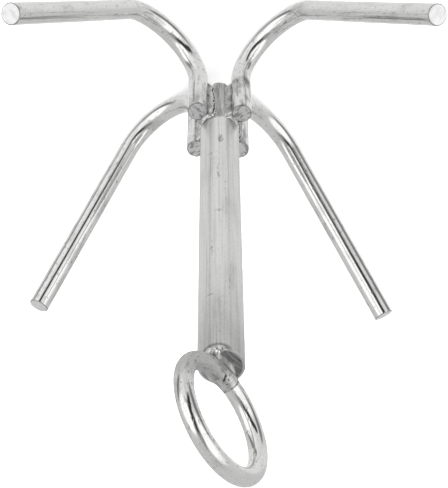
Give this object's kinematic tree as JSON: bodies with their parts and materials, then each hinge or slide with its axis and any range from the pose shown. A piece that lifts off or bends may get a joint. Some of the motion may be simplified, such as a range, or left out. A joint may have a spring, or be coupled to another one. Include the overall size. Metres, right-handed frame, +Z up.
{
  "type": "grapnel anchor",
  "caption": "Small fixed grapnel anchor: a round-bar shank with bent hook tines welded round its crown and a rope ring welded to the other end.",
  "frame": {"origin": "centre of the shank's flat crown end face, on the shank's axis; the floor the anchor stands on is 42 mm below it", "axes": "+Z runs up the shank to the ring; +X points along the tine called right and -Y along the tine called front, each within a few degrees"},
  "size_m": [0.3439, 0.3321, 0.3885],
  "materials": {
    "shank_steel": "matt zinc-coated drawn bar",
    "tine_steel": "bright zinc-coated bar",
    "ring_steel": "bright zinc-coated bar",
    "weld_metal": "rippled weld bead, zinc coated"
  },
  "bodies": {
    "root": {"shank": "shank_steel", "tine_right": "tine_steel", "tine_back": "tine_steel", "tine_left": "tine_steel", "tine_front": "tine_steel", "ring": "ring_steel", "ring_seam": "weld_metal", "ring_fillet_1": "weld_metal", "ring_fillet_2": "weld_metal", "fillet_right_1": "weld_metal", "fillet_right_2": "weld_metal", "fillet_back_1": "weld_metal", "fillet_back_2": "weld_metal", "fillet_left_1": "weld_metal", "fillet_left_2": "weld_metal", "fillet_front_1": "weld_metal", "fillet_front_2": "weld_metal", "toe_weld_right": "weld_metal", "toe_weld_back": "weld_metal", "toe_weld_left": "weld_metal", "toe_weld_front": "weld_metal"}
  },
  "joints": []
}
